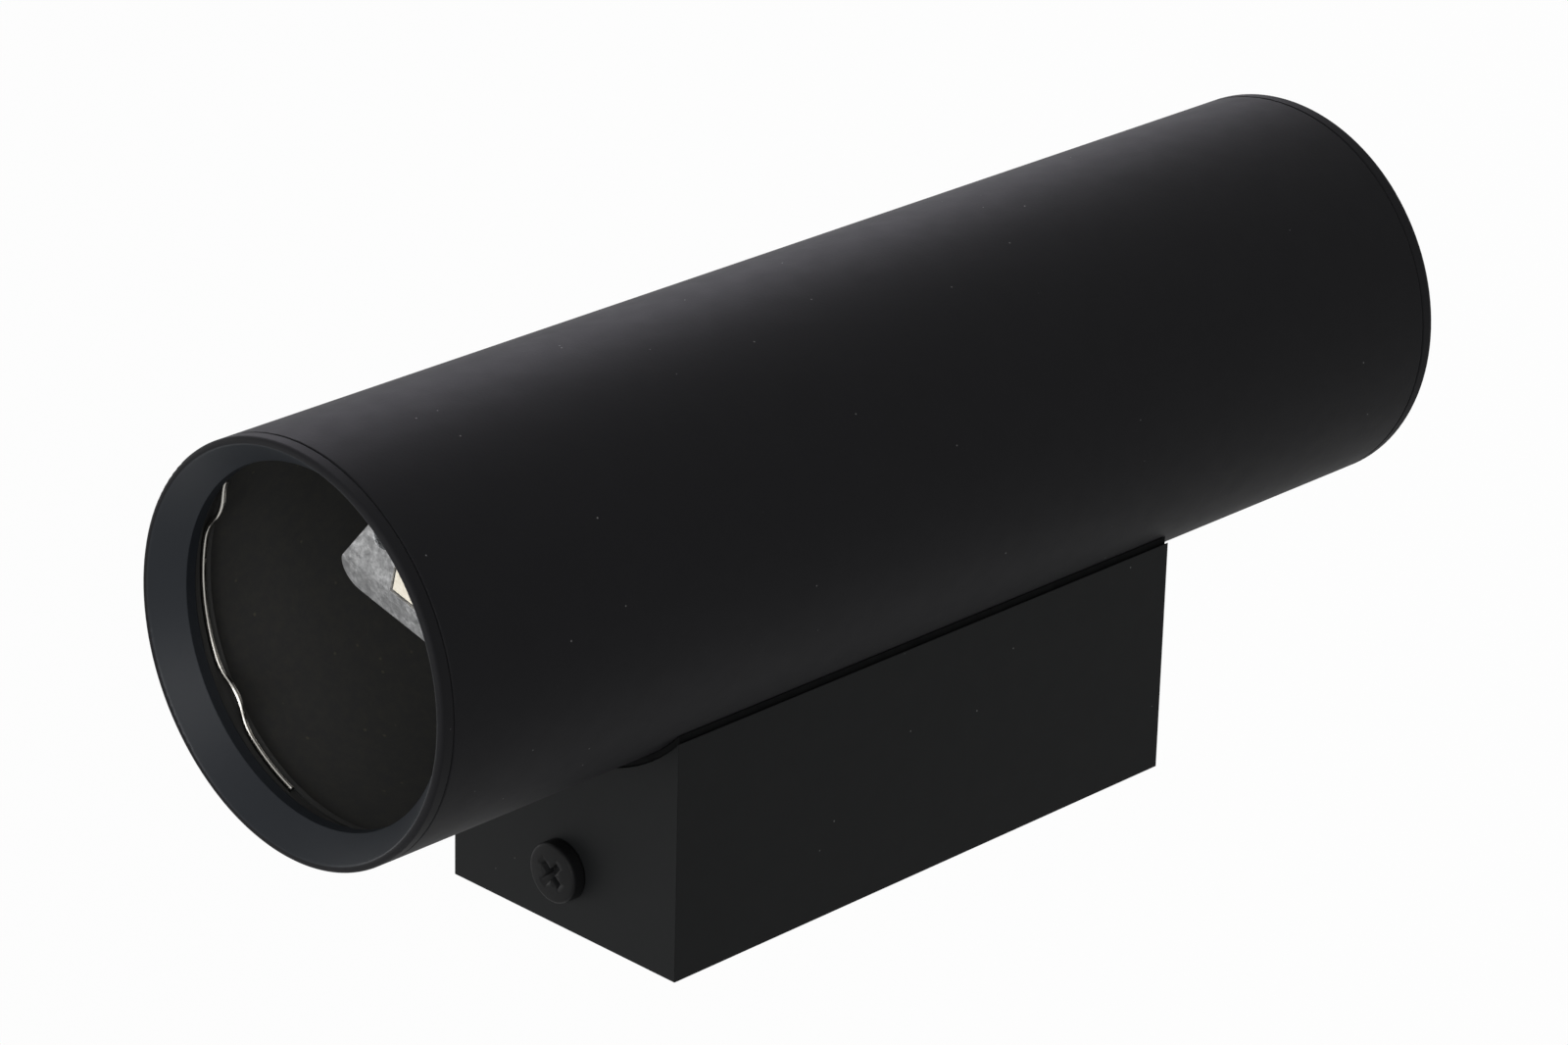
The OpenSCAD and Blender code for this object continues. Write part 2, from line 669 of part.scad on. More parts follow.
// Box: open to the wall, with a roof that follows the tube
module wall_box() {
    color(black_coat) difference() {
        translate([-box_w / 2, axis_y, -box_end]) cube([box_w, -axis_y, box_l]);
        translate([0, axis_y, 0]) cylinder(r = box_r, h = box_l + cut, center = true);
        difference() {
            translate([-inner_w / 2, axis_y, -inner_end]) cube([inner_w, cut - axis_y, 2 * inner_end]);
            translate([0, axis_y, 0]) cylinder(r = roof_r, h = box_l, center = true);
        }
        for (s = [-1, 1]) translate([0, 0, s * tube_screw_z])
            rod_y(m4_hole_d, axis_y, roof_y + cut);
        rod_y(2 * bush_hole_r, axis_y, roof_y + cut);
        for (s = [-1, 1]) translate([0, -side_screw_h, s * (box_end - box_wall / 2)])
            cylinder(d = m4_hole_d, h = box_wall + cut, center = true);
    }
}

// Two rivet nuts in the tube's wall: thin flange outside, swelling inside
module rivet_nuts() {
    bulge_y = axis_y + sqrt(tube_ir * tube_ir - nut_bulge_d * nut_bulge_d / 4) - nut_bulge_gap;
    color(zinc) for (s = [-1, 1]) translate([0, 0, s * tube_screw_z]) difference() {
        union() {
            rod_y(nut_body_d, axis_y + tube_r - nut_l, axis_y + tube_r);
            rod_y(nut_flange_d, axis_y + tube_r, axis_y + tube_r + nut_flange_t);
            rod_y(nut_bulge_d, bulge_y - nut_bulge_h, bulge_y);
        }
        rod_y(2 * thread_r, axis_y + tube_r - nut_l - cut, axis_y + box_r);
    }
}

// Two screws from inside the box into the rivet nuts
module tube_screws() {
    color(zinc) for (s = [-1, 1]) translate([0, roof_y + washer_t, s * tube_screw_z])
        rotate([-90, 0, 0]) pan_screw(m4_d, tube_screw_l, m4_head_d, m4_head_h, m4_edge, recess_turn);
}

module tube_washers() {
    color(zinc) for (s = [-1, 1]) translate([0, 0, s * tube_screw_z]) difference() {
        rod_y(washer_d, roof_y, roof_y + washer_t);
        rod_y(m4_hole_d, roof_y - cut, roof_y + washer_t + cut);
    }
}

// One ear of the bracket with its bend, seen from the side, y to the right and z up
module ear_profile() {
    translate([-ear_h, ear_out - bracket_t]) square([ear_h - bend_r - bracket_t, bracket_t]);
    intersection() {
        translate([-bend_r - bracket_t, ear_out - bend_r - bracket_t]) difference() {
            circle(r = bend_r + bracket_t);
            circle(r = bend_r);
        }
        translate([-bend_r - bracket_t, ear_out - bend_r - bracket_t])
            square(bend_r + bracket_t);
    }
}

// Bracket: plate on the wall, two tapped ears, two wall slots and the cable's hole
module wall_bracket() {
    color(zinc) difference() {
        union() {
            rotate([90, 0, 0]) linear_extrude(bracket_t)
                soft_rect(bracket_w, 2 * plate_end, bracket_corner);
            for (s = [0, 1]) mirror([0, 0, s]) {
                rotate([90, 0, 90]) linear_extrude(ear_w, center = true) ear_profile();
                translate([0, -side_screw_h, ear_out - bracket_t - ear_collar_h])
                    cylinder(d = ear_collar_d, h = ear_collar_h);
            }
        }
        for (s = [-1, 1]) translate([0, -side_screw_h, s * (ear_out - (bracket_t + ear_collar_h) / 2)])
            cylinder(r = thread_r, h = bracket_t + ear_collar_h + cut, center = true);
        rotate([90, 0, 0]) translate([0, 0, -cut]) linear_extrude(bracket_t + 2 * cut) {
            for (s = [-1, 1]) translate([0, s * slot_z]) rotate([0, 0, 90]) stadium(slot_l, slot_w);
            translate([0, cable_z]) circle(d = cable_bush_d + bush_fit);
            translate([pole_pitch / 2, block_z]) circle(d = fix_d + m4_thread_fit);
            translate([earth_x, earth_z]) circle(r = thread_r);
        }
    }
}

// Black pan-head screw through the box's end into the bracket's ear
module side_screw() {
    color(black_coat) translate([0, -side_screw_h, box_end])
        pan_screw(m4_d, side_screw_l, m4_head_d, m4_head_h, m4_edge, -recess_turn);
}

// Rubber bush for the supply cable, flush with the back of the bracket
module cable_bush() {
    color("dimgray") translate([0, 0, cable_z]) difference() {
        union() {
            rod_y(cable_bush_d, -bracket_t, 0);
            rod_y(cable_bush_flange_d, -bracket_t - cable_bush_flange_t, -bracket_t);
            rod_y(cable_bush_tip_d, -cable_bush_l, -bracket_t - cable_bush_flange_t);
        }
        rod_y(cable_d, -cable_bush_l - cut, cut);
    }
}

// Terminal block housing: base, a tower for each pole, wire holes and screw holes
module terminal_block() {
    base_y = -bracket_t - block_gap;
    color("whitesmoke") difference() {
        union() {
            translate([-block_w / 2, block_base_y, block_back_z])
                cube([block_w, base_y - block_base_y, block_l]);
            for (x = pole_xs) translate([x - tower_w / 2, block_top_y, block_back_z + tower_inset])
                cube([tower_w, base_y - block_top_y, block_l - 2 * tower_inset]);
        }
        for (x = pole_xs) {
            translate([x, insert_y, block_back_z - cut])
                cylinder(r = insert_d / 2 + insert_fit, h = block_l + 2 * cut);
            for (s = [-1, 1]) translate([x, 0, block_z + s * clamp_span / 2])
                rod_y(term_access_d, block_top_y - cut, insert_y);
        }
        for (s = [-1, 1]) translate([s * pole_pitch / 2, 0, block_z]) {
            rod_y(fix_hole_d, block_base_y - cut, base_y + cut);
            rod_y(fix_head_d + 2 * fix_head_play, block_top_y - cut, block_base_y);
        }
    }
}

// Brass insert of each pole: blind bore from each side and two threads from above
module terminal_inserts() {
    bore_l = (insert_l - insert_web) / 2;
    color(brass) for (x = pole_xs) translate([x, insert_y, block_z]) difference() {
        cylinder(d = insert_d, h = insert_l, center = true);
        for (s = [-1, 1]) translate([0, 0, s * (insert_web + bore_l + cut) / 2])
            cylinder(d = wire_bore_d, h = bore_l + cut, center = true);
        for (s = [-1, 1]) translate([0, 0, s * clamp_span / 2])
            rod_y(term_screw_d + 2 * insert_fit, -insert_d, 0);
    }
}

module terminal_screws() {
    tip_y = insert_y - wire_bore_d / 2;
    neck_y = insert_y - insert_d / 2;
    head_y = block_top_y + fix_head_h / 2;
    color(zinc) for (x = pole_xs, s = [-1, 1])
        translate([x, 0, block_z + s * clamp_span / 2]) difference() {
            union() {
                rod_y(term_screw_d, neck_y - insert_fit, tip_y);
                rod_y(term_screw_head_d, head_y, neck_y - insert_fit);
            }
            translate([-term_screw_head_d / 2, head_y - cut, -term_slot_w / 2])
                cube([term_screw_head_d, cut + term_slot_depth, term_slot_w]);
        }
}

// Screw that holds the terminal block on the bracket
module terminal_fixing() {
    fix_l = block_base_h + bracket_t - earth_end_gap;
    color(zinc) translate([pole_pitch / 2, block_base_y, block_z]) rotate([90, 0, 0])
        difference() {
            union() {
                translate([0, 0, -fix_l]) cylinder(d = fix_d, h = fix_l);
                cylinder(d1 = fix_head_d, d2 = fix_head_d - fix_head_h, h = fix_head_h);
            }
            translate([-fix_head_d / 2, -term_slot_w / 2, fix_head_h / 2])
                cube([fix_head_d, term_slot_w, fix_head_h]);
        }
}

// Screw of the earth bond
module earth_screw() {
    color(zinc) translate([earth_x, earth_head_y, earth_z]) rotate([90, 0, 0])
        pan_screw(m4_d, -earth_head_y - earth_end_gap, m4_head_d - m4_edge, m4_head_h, m4_edge, recess_turn);
}

module earth_washer() {
    color(zinc) translate([earth_x, 0, earth_z]) difference() {
        rod_y(earth_washer_d, earth_head_y, earth_head_y + earth_washer_t);
        rod_y(m4_hole_d, earth_head_y - cut, earth_head_y + earth_washer_t + cut);
    }
}

// Ring tag with the barrel that holds the earth lead
module earth_tag() {
    tag_back_y = -bracket_t - tag_t;
    color(brass) difference() {
        union() {
            translate([earth_x, 0, earth_z]) rod_y(tag_d, tag_back_y, -bracket_t);
            translate([earth_x - tag_barrel_d / 4, tag_back_y, earth_z])
                cube([tag_barrel_d / 2, tag_t - tag_barrel_lift, tag_barrel_z - earth_z + tag_neck]);
            translate([earth_x, tag_barrel_y, tag_barrel_z]) cylinder(d = tag_barrel_d, h = tag_barrel_l);
        }
        translate([earth_x, 0, earth_z]) rod_y(m4_hole_d, tag_back_y - cut, cut);
    }
}

// Sleeved earth lead from the tag to its terminal, with its bare end
module earth_lead() {
    from = [earth_x, tag_barrel_y, tag_barrel_z + tag_barrel_l];
    to = [pole_pitch, insert_y, block_back_z - lead_end_gap];
    way = [for (w = earth_way_shares) [from.x + (to.x - from.x) * w[1],
        from.y + (to.y - from.y) * w[1], from.z + (to.z - from.z) * w[0]]];
    color("yellowgreen") {
        sweep(smooth_path(way, lead_steps), lead_d, [1, 0, 0]);
        translate(to) cylinder(d = conductor_d, h = conductor_end, $fn = 24);
    }
}

tube();
at_end(false) end_ring();  // end_ring_top
at_end(true) end_ring();  // end_ring_bottom
at_end(false) lamp_clip();  // lamp_clip_top
at_end(true) lamp_clip();  // lamp_clip_bottom
at_end(false) holder_strap();  // holder_strap_top
at_end(true) holder_strap();  // holder_strap_bottom
at_end(false) holder_body();  // holder_body_top
at_end(true) holder_body();  // holder_body_bottom
at_end(false) holder_cap();  // holder_cap_top
at_end(true) holder_cap();  // holder_cap_bottom
at_end(false) holder_contacts();  // holder_contacts_top
at_end(true) holder_contacts();  // holder_contacts_bottom
at_end(false) holder_screws();  // holder_screws_top
at_end(true) holder_screws();  // holder_screws_bottom
live_lead_top();
live_lead_bottom();
neutral_lead_top();
neutral_lead_bottom();
lead_bush();
saddle_gasket();
wall_box();
rivet_nuts();
tube_screws();
tube_washers();
wall_bracket();
at_end(false) side_screw();  // side_screw_top
at_end(true) side_screw();  // side_screw_bottom
cable_bush();
terminal_block();
terminal_inserts();
terminal_screws();
terminal_fixing();
earth_screw();
earth_washer();
earth_tag();
earth_lead();
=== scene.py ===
"""Looks of the tube wall light: finishes, dressed pieces, lights, floor and camera.

Metres, in the part's own frame: +Z up along the tube, -Y away from the wall.
"""
import json
import math

import bmesh
import bpy
from mathutils import Matrix, Vector


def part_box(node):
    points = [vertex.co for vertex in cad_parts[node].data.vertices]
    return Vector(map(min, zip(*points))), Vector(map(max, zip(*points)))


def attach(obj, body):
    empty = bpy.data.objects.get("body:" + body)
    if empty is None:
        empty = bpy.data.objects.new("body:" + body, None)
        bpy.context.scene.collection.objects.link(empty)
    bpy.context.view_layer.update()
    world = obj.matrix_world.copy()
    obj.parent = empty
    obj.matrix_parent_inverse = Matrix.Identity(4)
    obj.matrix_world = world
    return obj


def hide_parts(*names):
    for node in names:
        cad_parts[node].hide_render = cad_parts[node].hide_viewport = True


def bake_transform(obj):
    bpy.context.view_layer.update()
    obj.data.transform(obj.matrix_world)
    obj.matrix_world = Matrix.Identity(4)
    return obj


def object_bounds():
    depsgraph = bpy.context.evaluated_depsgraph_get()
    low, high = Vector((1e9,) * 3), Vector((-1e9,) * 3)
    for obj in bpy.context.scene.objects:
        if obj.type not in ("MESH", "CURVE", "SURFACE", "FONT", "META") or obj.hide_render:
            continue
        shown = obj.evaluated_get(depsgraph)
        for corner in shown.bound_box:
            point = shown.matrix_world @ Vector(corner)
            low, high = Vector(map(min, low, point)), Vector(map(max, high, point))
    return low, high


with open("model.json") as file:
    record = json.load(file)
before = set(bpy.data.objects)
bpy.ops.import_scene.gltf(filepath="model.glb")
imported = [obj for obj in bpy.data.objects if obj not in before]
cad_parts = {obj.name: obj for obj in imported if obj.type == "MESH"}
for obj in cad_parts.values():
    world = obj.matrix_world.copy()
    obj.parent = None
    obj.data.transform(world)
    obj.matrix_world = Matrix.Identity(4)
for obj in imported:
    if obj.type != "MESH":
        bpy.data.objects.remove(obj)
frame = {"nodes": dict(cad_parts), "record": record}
cad_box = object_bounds()
scene = bpy.context.scene

MM = 0.001
ENDS = ("top", "bottom")

# Main sizes, read from the CAD nodes
tube_low, tube_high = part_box("tube")
TUBE_R = (tube_high.x - tube_low.x) / 2
AXIS_Y = (tube_high.y + tube_low.y) / 2
END_Z = cad_box[1].z

# Camera: place in metres, turn in degrees and lens in millimetres, fitted to the outline
CAMERA_PLACE = (-0.48849, -0.35293, 0.51189)
CAMERA_TURN = (-22.306, 44.633, -178.107)
CAMERA_LENS = 134.73


def make_camera():
    """Camera at the photograph's place."""
    data = bpy.data.cameras.new("camera")
    data.lens = CAMERA_LENS
    camera = bpy.data.objects.new("camera", data)
    camera.location = CAMERA_PLACE
    camera.rotation_euler = [math.radians(a) for a in CAMERA_TURN]
    scene.collection.objects.link(camera)
    scene.camera = camera


# Shader helpers: the round that every finish gives its edges, and the range that most of a
# noise's values lie in
EDGE_R = 0.2 * MM
EDGE_SAMPLES = 6
MOST_NOISE = (0.3, 0.7)


class Finish:
    """A node material under construction, in object coordinates."""

    def __init__(self, name):
        self.material = bpy.data.materials.new(name)
        self.material.use_nodes = True
        self.tree = self.material.node_tree
        self.shader = self.tree.nodes["Principled BSDF"]
        self.place = self.add("ShaderNodeTexCoord").outputs["Object"]

    def add(self, kind, **settings):
        """New node of this kind with these settings."""
        node = self.tree.nodes.new(kind)
        for name, value in settings.items():
            setattr(node, name, value)
        return node

    def link(self, output, socket):
        """Joins an output to a socket."""
        self.tree.links.new(output, socket)

    def set(self, **values):
        """Sets the shader's own sockets, named with underscores for spaces."""
        for name, value in values.items():
            self.shader.inputs[name.replace("_", " ")].default_value = value

    def math(self, operation, a, b=None):
        """Result of an operation on one or two values, each a number or a socket."""
        node = self.add("ShaderNodeMath", operation=operation)
        for socket, value in zip(node.inputs, (a, b)):
            if value is None:
                continue
            if isinstance(value, (int, float)):
                socket.default_value = value
            else:
                self.link(value, socket)
        return node.outputs[0]

    def noise(self, size, detail=2.0, rough=0.5):
        """Noise from 0 to 1 whose patches are about size metres across."""
        mapping = self.add("ShaderNodeMapping")
        mapping.inputs["Scale"].default_value = [1 / size] * 3
        self.link(self.place, mapping.inputs["Vector"])
        node = self.add("ShaderNodeTexNoise")
        node.inputs["Scale"].default_value = 1.0
        node.inputs["Detail"].default_value = detail
        node.inputs["Roughness"].default_value = rough
        self.link(mapping.outputs[0], node.inputs["Vector"])
        return node.outputs["Fac"]

    def cells(self, size, output="Distance"):
        """Voronoi cells about size metres across."""
        node = self.add("ShaderNodeTexVoronoi")
        node.inputs["Scale"].default_value = 1 / size
        self.link(self.place, node.inputs["Vector"])
        return node.outputs[output]

    def spread(self, value, low, high, to_low=0.0, to_high=1.0):
        """Maps value from low..high to to_low..to_high, clamped."""
        node = self.add("ShaderNodeMapRange")
        for socket, number in zip(node.inputs[1:5], (low, high, to_low, to_high)):
            socket.default_value = number
        self.link(value, node.inputs["Value"])
        return node.outputs["Result"]

    def mix(self, share, a, b):
        """Colour between a and b, each a colour or a socket."""
        node = self.add("ShaderNodeMix", data_type="RGBA")
        self.link(share, node.inputs["Factor"])
        for socket, value in ((node.inputs[6], a), (node.inputs[7], b)):
            if isinstance(value, bpy.types.NodeSocket):
                self.link(value, socket)
            else:
                socket.default_value = (*value, 1)
        return node.outputs[2]

    def colour(self, output):
        """Drives the base colour."""
        self.link(output, self.shader.inputs["Base Color"])

    def roughness(self, output):
        """Drives the roughness."""
        self.link(output, self.shader.inputs["Roughness"])

    def uneven_roughness(self, size, low, high, detail=2.0):
        """Roughness that wanders from low to high in patches about size metres across."""
        self.roughness(self.spread(self.noise(size, detail=detail), *MOST_NOISE, low, high))

    def split(self):
        """The place's X, Y and Z, by name."""
        node = self.add("ShaderNodeSeparateXYZ")
        self.link(self.place, node.inputs[0])
        return node.outputs

    def bump(self, *layers):
        """Rounds the edges, then stacks bumps: each a height from 0 to 1 and its depth."""
        soft = self.add("ShaderNodeBevel", samples=EDGE_SAMPLES)
        soft.inputs["Radius"].default_value = EDGE_R
        normal = soft.outputs[0]
        for height, depth in layers:
            node = self.add("ShaderNodeBump")
            node.inputs["Strength"].default_value = 1.0
            node.inputs["Distance"].default_value = depth
            self.link(height, node.inputs["Height"])
            self.link(normal, node.inputs["Normal"])
            normal = node.outputs[0]
        self.link(normal, self.shader.inputs["Normal"])


def tube_radius(f):
    """Distance from the tube's axis."""
    place = f.split()
    squares = []
    for name, middle in (("X", 0.0), ("Y", AXIS_Y)):
        off = f.math("SUBTRACT", place[name], middle)
        squares.append(f.math("MULTIPLY", off, off))
    return f.math("SQRT", f.math("ADD", *squares))


# Powder coat: sizes of its mottle, lustre, waves and grain, and its pale specks. The shares of
# specks are their outer and inner radius against the grid.
COAT_MOTTLE = 9 * MM
COAT_LUSTRE = 3 * MM
COAT_WAVE = 2.2 * MM
COAT_GRAIN = 0.45 * MM
WAVE_SHARE = 0.6
MOTTLE_SHARE = 0.07
ROUGH_SWING = 0.015
SPECK_GRID = 4.2 * MM
SPECK_R_SHARES = (0.032, 0.0224)
SPECK_GREY = (0.13, 0.13, 0.13)


def powder_coat(name, base, rough, grain_depth, level):
    """Black powder coat: fine pebbled grain, faint mottle and a few pale specks."""
    f = Finish(name)
    low = [(1 - MOTTLE_SHARE) * c for c in base]
    high = [(1 + MOTTLE_SHARE) * c for c in base]
    dark = f.mix(f.noise(COAT_MOTTLE, detail=3), low, high)
    f.colour(f.mix(f.spread(f.cells(SPECK_GRID), *SPECK_R_SHARES), dark, SPECK_GREY))
    f.uneven_roughness(COAT_LUSTRE, rough - ROUGH_SWING, rough + ROUGH_SWING)
    f.set(Specular_IOR_Level=level)
    grain = f.noise(COAT_GRAIN, detail=1.5)
    f.bump((grain, grain_depth), (f.noise(COAT_WAVE), WAVE_SHARE * grain_depth))
    return f


# Tube and end rings: the coat outside, and how far in from the tube's radius it ends
TUBE_BLACK = (0.0079, 0.0079, 0.0088)
TUBE_ROUGH = 0.6
TUBE_LEVEL = 0.06
TUBE_GRAIN = 0.012 * MM
RING_GRAIN = 0.006 * MM
COAT_EDGE = 0.15 * MM
TUBE_COAT_IN = 0.6 * MM
RING_COAT_IN = 0.95 * MM

# The tube's inside: dull coat, warm patches and sparse warm grains
INSIDE_PATCH = 1.6 * MM
INSIDE_DULL = (0.0265, 0.0265, 0.026)
INSIDE_WARM = (0.036, 0.0345, 0.030)
INSIDE_GRID = 3.2 * MM
INSIDE_R_SHARES = (0.09, 0.04)
INSIDE_GRAIN = (0.062, 0.056, 0.042)
INSIDE_LEVEL = 0.3
INSIDE_ROUGH = 0.8

# The ring's cone, and behind the lip a pale dull tone: partly the inside's dull coat, partly
# painted light that lifts the shade the lip casts there
CONE_PATCH = 5 * MM
CONE_DARK = (0.0098, 0.0114, 0.0140)
CONE_LIGHT = (0.0116, 0.0135, 0.0165)
CONE_LEVEL = 0.15
CONE_ROUGH = 0.42
LIP_BACK = 5.3 * MM
LIP_FADE = 0.1 * MM
BACK_DULL_PAINTED_LIGHT = (0.055, 0.055, 0.054)


def coat_by_radius(name, grain_depth, coat_in, inner, inner_level, inner_rough):
    """Tube coat on the outside, and an inner finish from coat_in below the tube's radius."""
    f = powder_coat(name, TUBE_BLACK, TUBE_ROUGH, grain_depth, TUBE_LEVEL)
    outer = f.shader.inputs["Base Color"].links[0].from_socket
    outer_rough = f.shader.inputs["Roughness"].links[0].from_socket
    limit_r = TUBE_R - coat_in
    outside = f.spread(tube_radius(f), limit_r, limit_r + COAT_EDGE)
    f.colour(f.mix(outside, inner(f), outer))
    change = f.math("MULTIPLY", f.math("SUBTRACT", outer_rough, inner_rough), outside)
    f.roughness(f.math("ADD", change, inner_rough))
    level = f.spread(outside, 0, 1, inner_level, TUBE_LEVEL)
    f.link(level, f.shader.inputs["Specular IOR Level"])
    return f.material


def tube_coat():
    """The tube: powder coat outside, dull thin coat with warm patches and grains inside."""
    def inner(f):
        patches = f.spread(f.noise(INSIDE_PATCH, detail=5, rough=0.75), 0.4, 0.75)
        dull = f.mix(patches, INSIDE_DULL, INSIDE_WARM)
        return f.mix(f.spread(f.cells(INSIDE_GRID), *INSIDE_R_SHARES), dull, INSIDE_GRAIN)
    return coat_by_radius("tube_coat", TUBE_GRAIN, TUBE_COAT_IN, inner, INSIDE_LEVEL, INSIDE_ROUGH)


def ring_coat():
    """The end rings: tube coat round the outside, smoother in the mouth, and behind the lip a dull
    tone made paler as painted light against the lip's shade.
    """
    def inner(f):
        cone = f.mix(f.noise(CONE_PATCH), CONE_DARK, CONE_LIGHT)
        height = f.math("ABSOLUTE", f.split()["Z"])
        # Behind the lip the colour turns to a pale dull grey: partly the inside's coat, partly
        # painted light that undoes the lip's shade
        behind = f.spread(height, END_Z - LIP_BACK, END_Z - LIP_BACK - LIP_FADE)
        return f.mix(behind, cone, BACK_DULL_PAINTED_LIGHT)
    return coat_by_radius("ring_coat", RING_GRAIN, RING_COAT_IN, inner, CONE_LEVEL, CONE_ROUGH)


# The box's coat
BOX_BLACK = (0.0058, 0.0062, 0.0064)
BOX_ROUGH = 0.5
BOX_LEVEL = 0.06
BOX_GRAIN = 0.003 * MM


def box_coat():
    """The box: powder coat, a little smoother and cooler than the tube's."""
    return powder_coat("box_coat", BOX_BLACK, BOX_ROUGH, BOX_GRAIN, BOX_LEVEL).material


# Rubber: sizes of its patches, lustre and grain, the grain's depth and the range of roughness
RUBBER_PATCH = 4 * MM
RUBBER_LUSTRE = 1.5 * MM
RUBBER_GRAIN = 0.25 * MM
RUBBER_DEPTH = 0.01 * MM
RUBBER_PALER = 2.2
RUBBER_ROUGH = (0.72, 0.88)


def rubber(name, base, bloom=0.004, level=0.2):
    """Matt rubber, with a dusty bloom where bloom is above 0."""
    f = Finish(name)
    pale = [RUBBER_PALER * c + bloom for c in base]
    f.colour(f.mix(f.noise(RUBBER_PATCH, detail=4), base, pale))
    f.uneven_roughness(RUBBER_LUSTRE, *RUBBER_ROUGH)
    f.set(Specular_IOR_Level=level)
    f.bump((f.noise(RUBBER_GRAIN), RUBBER_DEPTH))
    return f.material


# Bare metal: sizes of its stains, lustre and grain, and the grain's depth. Metal and plastic
# darken to a share of their base colour.
STAIN_SHARE = 0.88
METAL_STAIN = 5 * MM
METAL_LUSTRE = 1.2 * MM
METAL_GRAIN = 0.3 * MM
METAL_DEPTH = 0.004 * MM


def metal(name, base, rough):
    """Plated or machined metal with fine uneven lustre."""
    f = Finish(name)
    stained = [STAIN_SHARE * c for c in base]
    f.colour(f.mix(f.noise(METAL_STAIN, detail=4), stained, base))
    f.uneven_roughness(METAL_LUSTRE, rough - 0.06, rough + 0.08, detail=3)
    f.set(Metallic=1.0)
    f.bump((f.noise(METAL_GRAIN, detail=3), METAL_DEPTH))
    return f.material


# Black oxide on the side screws
OXIDE_PATCH = 1.5 * MM
OXIDE_LUSTRE = 0.8 * MM
OXIDE_GRAIN = 0.25 * MM
OXIDE_DARK = (0.0044, 0.0045, 0.0047)
OXIDE_LIGHT = (0.0056, 0.0057, 0.0059)
OXIDE_ROUGH = (0.42, 0.54)
OXIDE_LEVEL = 0.06


def black_oxide():
    """Blackened screw steel: near black with a soft dull shine."""
    f = Finish("screw_black")
    f.colour(f.mix(f.noise(OXIDE_PATCH, detail=3), OXIDE_DARK, OXIDE_LIGHT))
    f.uneven_roughness(OXIDE_LUSTRE, *OXIDE_ROUGH, detail=3)
    f.set(Specular_IOR_Level=OXIDE_LEVEL)
    f.bump((f.noise(OXIDE_GRAIN, detail=3), METAL_DEPTH))
    return f.material


# Zinc on the straps and the bracket
SPANGLE = 1.3 * MM
ZINC_SPECKLE = 0.8 * MM
ZINC_DEPTH = 0.02 * MM
SPANGLE_DARK = (0.36, 0.363, 0.367)
SPANGLE_LIGHT = (0.66, 0.663, 0.667)
SPECKLE_GREY = (0.24, 0.242, 0.245)
ZINC_ROUGH = (0.32, 0.58)
ZINC_METALLIC = 0.4


def galvanised():
    """Hot-dip galvanised sheet: spangle cells of different lustre, and fine grey speckle."""
    f = Finish("galvanised")
    cell = f.add("ShaderNodeSeparateColor")
    f.link(f.cells(SPANGLE, output="Color"), cell.inputs[0])
    speckle = f.noise(ZINC_SPECKLE, detail=5, rough=0.75)
    tone = f.mix(cell.outputs[0], SPANGLE_DARK, SPANGLE_LIGHT)
    f.colour(f.mix(f.spread(speckle, 0.35, 0.65), SPECKLE_GREY, tone))
    f.roughness(f.spread(cell.outputs[1], 0, 1, *ZINC_ROUGH))
    f.set(Metallic=ZINC_METALLIC)
    f.bump((speckle, ZINC_DEPTH), (f.cells(SPANGLE), ZINC_DEPTH))
    return f.material


# Steatite of the lampholders
CERAMIC_SPECKLE = 0.5 * MM
CERAMIC_LUSTRE = 2 * MM
CERAMIC_GRAIN = 0.4 * MM
CERAMIC_DEPTH = 0.012 * MM
CREAM_DARK = (0.70, 0.64, 0.52)
CREAM_LIGHT = (0.86, 0.82, 0.72)
CERAMIC_ROUGH = (0.45, 0.62)


def ceramic():
    """Matt cream steatite with tiny dark and pale grains."""
    f = Finish("steatite")
    speckle = f.noise(CERAMIC_SPECKLE, detail=5, rough=0.7)
    f.colour(f.mix(f.spread(speckle, *MOST_NOISE), CREAM_DARK, CREAM_LIGHT))
    f.uneven_roughness(CERAMIC_LUSTRE, *CERAMIC_ROUGH)
    f.bump((f.noise(CERAMIC_GRAIN, detail=3), CERAMIC_DEPTH))
    return f.material


# Moulded plastic and silicone
PLASTIC_PATCH = 3 * MM
PLASTIC_LUSTRE = 1 * MM
PLASTIC_GRAIN = 0.3 * MM
PLASTIC_DEPTH = 0.005 * MM
PLASTIC_LEVEL = 0.4


def moulded_plastic(name, base, rough):
    """Moulded plastic or silicone with a soft uneven skin."""
    f = Finish(name)
    stained = [STAIN_SHARE * c for c in base]
    f.colour(f.mix(f.noise(PLASTIC_PATCH, detail=3), stained, base))
    f.uneven_roughness(PLASTIC_LUSTRE, rough - 0.05, rough + 0.07)
    f.set(Specular_IOR_Level=PLASTIC_LEVEL)
    f.bump((f.noise(PLASTIC_GRAIN), PLASTIC_DEPTH))
    return f.material


